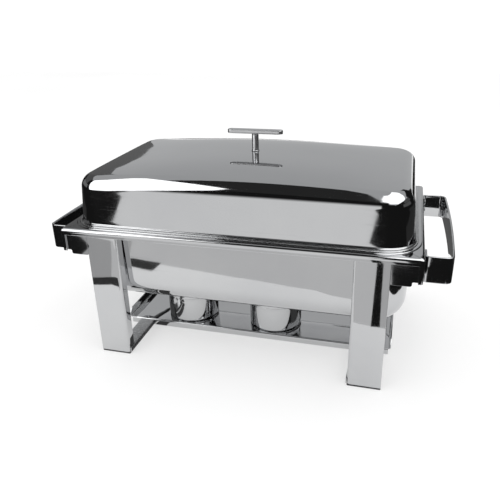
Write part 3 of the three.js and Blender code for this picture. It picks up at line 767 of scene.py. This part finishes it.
def lid_rings(inset):
    """Rings of one skin of the lid, from the foot of its wall to the hole for the handle's stud."""
    radius = SHOULDER_R - inset
    top = LID_BASE + SHOULDER - inset
    foot = LID_BASE + (LID_SHEET if inset == 0 else 0.0)
    rings = []

    def ring(into, height, lift):
        line = rounded_rectangle(LID_X - into, LID_Y - into, LID_R - into, *LID_STEPS)
        return [(x, y, height + lift * crown(x, y)) for x, y in line]

    fillet = 1.2
    for turn in turns(math.pi / 2, 4):
        rings.append(ring(inset - fillet * (1 - math.sin(turn)), foot + fillet * (1 - math.cos(turn)), 0))
    start = foot + fillet
    for i in range(1, 10):
        share = i / 10
        rings.append(ring(inset + DRAFT * share, start + (top - radius - start) * share, 0))
    for turn in turns(math.pi / 2, 18):
        into = inset + DRAFT + radius * (1 - math.cos(turn))
        rings.append(ring(into, top - radius * (1 - math.sin(turn)), math.sin(turn) ** 2))
    flat = DRAFT + SHOULDER_R
    line = rounded_rectangle(LID_X - flat, LID_Y - flat, LID_R - flat, *LID_STEPS)
    for share in (0.975, 0.94, 0.9, 0.85, 0.79, 0.72, 0.64, 0.56, 0.48, 0.4, 0.32, 0.24, 0.17, 0.11, 0.07):
        rings.append([(x * share, y * share, top + crown(x * share, y * share)) for x, y in line])
    hole, last = 3.3, rings[-1]
    for share in (0.5, 1.0):
        points = []
        for x, y, _ in last:
            length = math.hypot(x, y)
            reach = length + (hole - length) * share
            px, py = x / length * reach, y / length * reach
            points.append((px, py, top + crown(px, py)))
        rings.append(points)
    return rings


def lid_shell():
    """The pressed lid: a foot flange with an eased edge, drafted walls, round shoulders and a domed top."""
    def edge(into, height):
        grown = LID_FLANGE - into
        line = rounded_rectangle(LID_X + grown, LID_Y + grown, LID_R + grown, *LID_STEPS)
        return [(x, y, height) for x, y in line]

    flange = [edge(0.3, LID_BASE), edge(0.04, LID_BASE + 0.06), edge(0.0, LID_BASE + 0.14),
              edge(0.08, LID_BASE + 0.26), edge(0.56, LID_BASE + 0.86), edge(0.75, LID_BASE + 0.97),
              edge(1.1, LID_BASE + 1.0)]
    mesh = add_rings(bmesh.new(), lid_rings(LID_SHEET)[::-1] + flange + lid_rings(0.0), closed=True)
    new_piece("lid_dome", mesh, LID_STEEL, "lid", ["lid_shell"], sharp=60)


def lid_handle():
    """The T handle: a turned post with a flared foot, and a flat bar with round ends and eased edges."""
    base = LID_TOP + GAP
    profile = [(0, -13), (2.4, -13), (3.0, -12.4), (3.0, 0), (6.3, 0), (6.5, 0.2), (6.5, 0.5), (6.3, 0.8)]
    profile += [(5.5 + 0.8 * (1 - math.sin(a)), 0.8 + 2.4 * (1 - math.cos(a)))
                for a in turns(math.pi / 2, 6)[1:]]
    profile += [(5.5, 25.6), (5.35, 26.0), (5.5, 26.4), (5.5, 27.6), (5.2, 27.95), (0, 27.95)]
    mesh = lathe(bmesh.new(), profile, (0, 0, base), 64)
    new_piece("lid_knob_post", mesh, KNOB_STEEL, "lid", ["lid_handle_post"])
    low = LID_TOP + 28.6
    rows = [(3.0, 0.0), (1.3, 0.0), (0.7, 0.12), (0.3, 0.4), (0.07, 0.8), (0.0, 1.4), (0.0, 4.6),
            (0.1, 5.4), (0.45, 6.0), (1.0, 6.36), (1.7, 6.5), (3.2, 6.5)]
    rings = []
    for inset, height in rows:
        line = rounded_rectangle(46 - inset, 6.5 - inset, max(6.0 - inset, 0.2), 12, 24, 1)
        rings.append([(x, y, low + height) for x, y in line])
    bar = add_rings(bmesh.new(), rings, caps=BOTH)
    new_piece("lid_knob_bar", bar, KNOB_STEEL, "lid", ["lid_handle_bar"])


def lid_fixings():
    """The washer and the chamfered nut that hold the handle from inside the lid."""
    washer_base = LID_TOP - LID_SHEET - GAP - 1.5
    profile = [(3.3, 0.3), (3.6, 0.0), (9.6, 0.0), (10, 0.35), (10, 1.15), (9.6, 1.5), (3.6, 1.5), (3.3, 1.2)]
    rings = [[(r * math.cos(t), r * math.sin(t), washer_base + h) for t in circle(64)] for r, h in profile]
    washer = add_rings(bmesh.new(), rings, closed=True)
    new_piece("lid_spreader", washer, SATIN_STEEL, "lid", ["lid_washer"])
    base = washer_base - GAP - 5
    rings = []
    for flat, height in ((5.4, 0.0), (6.2, 0.5), (6.4, 0.9), (6.4, 4.1), (6.2, 4.5), (5.4, 5.0)):
        points = []
        for turn in circle(48):
            sector = (turn + math.pi / 6) % (math.pi / 3) - math.pi / 6
            reach = min(5.63 / math.cos(sector), flat)
            points.append((reach * math.cos(turn), reach * math.sin(turn), base + height))
        rings.append(points)
    for radius, height in ((3.6, 5.0), (3.3, 4.6), (3.3, 0.4), (3.6, 0.0)):
        rings.append([(radius * math.cos(t), radius * math.sin(t), base + height) for t in circle(48)])
    nut = add_rings(bmesh.new(), rings, closed=True)
    new_piece("lid_hex_nut", nut, SATIN_STEEL, "lid", ["lid_nut"], sharp=25)


# ---- Building ------------------------------------------------------------------------------------

RIVETS = (("upper", 9.5), ("lower", 23.5))
HOLDERS = (("left", -118.0), ("right", 38.0))

rim()
fuel_shelf()
for side, sx in SIDES:
    strap_handle(side, sx)
    shelf_rail(side, sx)
    for end, ey in ENDS:
        leg(side, sx, end, ey)
        foot_pad(side, sx, end, ey)
        corner_plate(side, sx, end, ey)
        for level, below in RIVETS:
            rivet(side, sx, end, ey, level, STRAP_TOP - below)

for side, x in HOLDERS:
    fuel_holder(side, x)
    fuel_can(side, x)
    fuel_gel(side, x)
    damper(side, x)
    pivot(side, x)

# half length, half depth and corner of the rim, then of the wall; depth, draft, bottom bend, sheet
WATER_DIMS = (272, 164, 55, 260.5, 147.5, 50, 131, 3, 40, 1.0)
FOOD_DIMS = (266.5, 160, 50, 248, 142, 40, 65, 6, 18, 0.8)
pan("water_pan_shell", "water_pan", "water_pan", PAN_STEEL, WATER_DIMS, WATER_BASE,
    ((0.97, 0.0), (0.93, 0.0), (0.9, 0.4), (0.87, 0.6), (0.5, 0.6), (0.1, 0.6)))
pan("food_pan_shell", "food_pan", "food_pan", FOOD_STEEL, FOOD_DIMS, FOOD_BASE,
    ((0.97, 0.0), (0.92, 0.0), (0.9, 0.5), (0.88, 0.6), (0.5, 0.6), (0.1, 0.6)))
lid_shell()
lid_handle()
lid_fixings()


# ---- Studio --------------------------------------------------------------------------------------

BLACK = 0.012


def card(name, corners, radiance, fade=None):
    """A studio card that only the reflections in the metal see. It can fade to black with height."""
    data = bpy.data.meshes.new(name)
    data.from_pydata([Vector(c) for c in corners], [], [tuple(range(len(corners)))])
    material = bpy.data.materials.new(name)
    material.use_nodes = True
    tree = material.node_tree
    tree.nodes.remove(tree.nodes["Principled BSDF"])
    light = tree.nodes.new("ShaderNodeEmission")
    light.inputs["Color"].default_value = (1, 1, 1, 1)
    light.inputs["Strength"].default_value = radiance
    tree.links.new(light.outputs["Emission"], tree.nodes["Material Output"].inputs["Surface"])
    if fade:
        place = tree.nodes.new("ShaderNodeTexCoord")
        split = tree.nodes.new("ShaderNodeSeparateXYZ")
        ramp = tree.nodes.new("ShaderNodeMapRange")
        ramp.interpolation_type = "SMOOTHSTEP"
        ramp.inputs["From Min"].default_value = fade[0]
        ramp.inputs["From Max"].default_value = fade[1]
        ramp.inputs["To Min"].default_value = radiance
        ramp.inputs["To Max"].default_value = BLACK
        tree.links.new(place.outputs["Object"], split.inputs["Vector"])
        tree.links.new(split.outputs["Z"], ramp.inputs["Value"])
        tree.links.new(ramp.outputs["Result"], light.inputs["Strength"])
    data.materials.append(material)
    obj = bpy.data.objects.new(name, data)
    bpy.context.scene.collection.objects.link(obj)
    obj.visible_camera = False
    obj.visible_diffuse = False
    obj.visible_shadow = False
    obj.visible_transmission = False
    obj.visible_volume_scatter = False


def floor_card(name, corners, radiance, height):
    """A level card a little above the floor. Where two overlap, the higher one is seen."""
    card(name, [(x, y, height) for x, y in corners], radiance)


def wall_card(name, start, end, low, high, radiance, fade=None):
    """An upright card over the line from start to end."""
    corners = [(*start, low), (*end, low), (*end, high), (*start, high)]
    card(name, corners, radiance, fade)


def add_floor():
    """The white floor, wide enough to have no edge in view."""
    data = bpy.data.meshes.new("floor")
    half = 40
    corners = [(-half, -half, 0), (half, -half, 0), (half, half, 0), (-half, half, 0)]
    data.from_pydata(corners, [], [(0, 1, 2, 3)])
    data.materials.append(floor_material())
    floor = bpy.data.objects.new("floor", data)
    bpy.context.scene.collection.objects.link(floor)


def add_room():
    """An even white room, half as bright where the metal reflects it."""
    world = bpy.data.worlds.new("studio")
    world.use_nodes = True
    tree = world.node_tree
    white = tree.nodes["Background"]
    white.inputs["Color"].default_value = (1, 1, 1, 1)
    white.inputs["Strength"].default_value = 1.12
    grey = tree.nodes.new("ShaderNodeBackground")
    grey.inputs["Color"].default_value = (0.98, 0.99, 1.0, 1)
    grey.inputs["Strength"].default_value = 0.55
    ray = tree.nodes.new("ShaderNodeLightPath")
    choose = tree.nodes.new("ShaderNodeMixShader")
    tree.links.new(ray.outputs["Is Glossy Ray"], choose.inputs["Fac"])
    tree.links.new(white.outputs["Background"], choose.inputs[1])
    tree.links.new(grey.outputs["Background"], choose.inputs[2])
    tree.links.new(choose.outputs["Shader"], tree.nodes["World Output"].inputs["Surface"])
    bpy.context.scene.world = world


def add_lamp(name, place, aim, size, power):
    """A soft square lamp that the metal does not reflect."""
    lamp = bpy.data.lights.new(name, "AREA")
    lamp.size = size
    lamp.energy = power
    holder = bpy.data.objects.new(name, lamp)
    holder.location = place
    holder.rotation_mode = "QUATERNION"
    holder.rotation_quaternion = (Vector(aim) - Vector(place)).to_track_quat("-Z", "Y")
    holder.visible_glossy = False
    bpy.context.scene.collection.objects.link(holder)


def add_cards():
    # a pale table ends in front of the dish; behind its edge the floor is grey, then pale again
    floor_card("floor_grey", [(-0.52, -0.418), (-0.27, -0.415), (-0.06, -0.392), (0.09, -0.373),
                              (0.125, -0.356), (0.17, -0.346), (0.3, -0.333), (0.3, -0.62),
                              (-0.66, -0.62)], 0.75, 0.003)
    floor_card("floor_dim", [(-0.52, -0.418), (-0.325, -0.400), (-0.345, -0.446), (-0.375, -0.52),
                             (-0.42, -0.62), (-0.66, -0.62)], 0.51, 0.0035)
    floor_card("floor_pale", [(-0.66, -0.62), (0.3, -0.62), (0.3, -3.2), (-2.2, -3.2)], 0.97, 0.003)
    floor_card("table_edge", [(-0.55, -0.343), (-0.385, -0.410), (-0.328, -0.430), (-0.257, -0.418),
                              (-0.262, -0.383), (-0.320, -0.394), (-0.378, -0.376), (-0.55, -0.309)],
               0.05, 0.004)
    # a near-black card under the left shelf rail: painted shade under the shelf, seen only in the metal's
    # reflections
    floor_card("painted_shade_under_rail", [(-0.1785, -0.162), (-0.157, -0.162), (-0.157, -0.03), (-0.1785, -0.03)],
               0.06, 0.001)
    # black cloth on both sides of it, grey at the ends, and a dark patch behind the dish
    floor_card("cloth_right", [(0.199, -0.338), (0.186, -0.62), (0.27, -0.62), (0.27, -1.05),
                               (0.155, -1.15), (0.152, -6), (6, -6), (6, 4), (0.5, 4), (0.5, -0.1),
                               (0.42, -0.36)], BLACK, 0.005)
    floor_card("pale_strip", [(0.219, -0.338), (0.243, -0.338), (0.231, -0.62), (0.206, -0.62)], 0.62, 0.006)
    floor_card("cloth_left", [(-0.46, -0.34), (-0.485, -0.56), (-0.60, -0.66), (-0.72, -0.97),
                              (-0.775, -1.2), (-1.06, -1.8), (-1.5, -2.6), (-2.9, -6), (-6, -6),
                              (-6, 4), (-0.36, 4), (-0.36, -0.12)], BLACK, 0.005)
    floor_card("cloth_end_right", [(0.62, 0.05), (1.3, -0.2), (1.3, 1.6), (0.62, 1.6)], 0.035, 0.006)
    floor_card("cloth_end_left", [(-0.62, 0.05), (-1.3, -0.2), (-1.3, 1.6), (-0.62, 1.6)], 0.04, 0.006)
    floor_card("cloth_behind", [(0.1, 0.36), (0.33, 0.36), (0.33, 0.9), (0.1, 0.9)], 0.1, 0.003)
    # black flags at the ends and behind, the left one greyer towards the back
    wall_card("flag_left", (-2.2, -3.2), (-2.2, 1.9), 0, 2.6, BLACK)
    outline = ((1.9, 0), (4.0, 0), (3.9, 0.8), (3.4, 1.0), (3.0, 1.3), (2.8, 1.75), (2.55, 2.3), (1.9, 2.6))
    card("flag_back_left", [(-2.2, y, z) for y, z in outline], 0.14)
    wall_card("flag_right", (2.2, -3.2), (2.2, 1.2), 0, 1.7, BLACK)
    wall_card("flag_back_right", (2.2, 1.2), (1.26, 3.1), 0.15, 2.1, BLACK)
    outline = ((1.27, 0.8), (1.05, 1.45), (0.6, 1.65), (0.6, 2.0), (1.27, 2.1))
    card("flag_back_tip", [(x, 3.12, z) for x, z in outline], BLACK)
    # dim windows low in both end flags, and a faint glow above them
    wall_card("window_left", (-2.18, -0.8), (-2.18, 0.8), 0.32, 0.95, 0.22)
    wall_card("window_right", (2.18, -0.8), (2.18, 0.8), 0.32, 0.95, 0.12)
    wall_card("glow_left", (-2.18, -0.4), (-2.18, 1.9), 1.0, 2.6, 0.12)
    wall_card("glow_right", (2.18, -0.4), (2.18, 1.2), 1.0, 1.7, 0.10)
    # black flags in front, a pale wall before them that fades upwards, and a dark flag above
    wall_card("flag_front_right", (0.17, -3.0), (2.2, -3.0), 0, 1.9, BLACK)
    wall_card("flag_front", (-2.2, -3.0), (0.6, -3.0), 0, 2.6, BLACK)
    wall_card("front_wall", (-1.6, -2.9), (0.17, -2.9), 0, 1.6, 0.97, (0.45, 1.5))
    outline = ((-1.25, -0.95), (-0.95, -0.72), (-0.3, -0.35), (0.05, -0.1), (0.15, -0.4), (0.15, -3.0),
               (-2.2, -3.0), (-1.9, -1.5))
    card("flag_above", [(x, y, 2.6) for x, y in outline], 0.03)
    # soft boxes: an upright one at the left and a large level one overhead at the right
    run = Vector((0.762, -0.648, 0))
    outline = ((0.32, 0.15), (0.90, 0.15), (1.20, 1.3), (1.20, 1.65), (0.56, 2.34), (-0.25, 3.3),
               (-0.35, 3.2), (0.05, 2.3), (0.15, 1.2))
    card("box_left", [Vector((-1.5, -0.65, height)) + run * along for along, height in outline], 2.4)
    outline = ((0.20, -1.2), (0.20, -1.95), (0.95, -2.8), (3.3, -2.1), (3.6, -0.4), (2.8, 0.13), (2.3, 0.56),
               (1.77, 0.84), (1.17, 1.06), (0.60, 1.75), (0.42, 1.75), (0.42, 0.5), (0.25, -0.3))
    card("box_right", [(x, y, 2.1) for x, y in outline], 2.2)


add_floor()
add_room()
add_lamp("overhead", (0.2, -0.3, 3.2), (0, 0, 0), 3.6, 12)
add_lamp("front_fill", (-1.8, -3.0, 2.2), (0, 0, 0.2), 2.0, 5)
add_cards()
bpy.context.scene.view_settings.view_transform = "Standard"
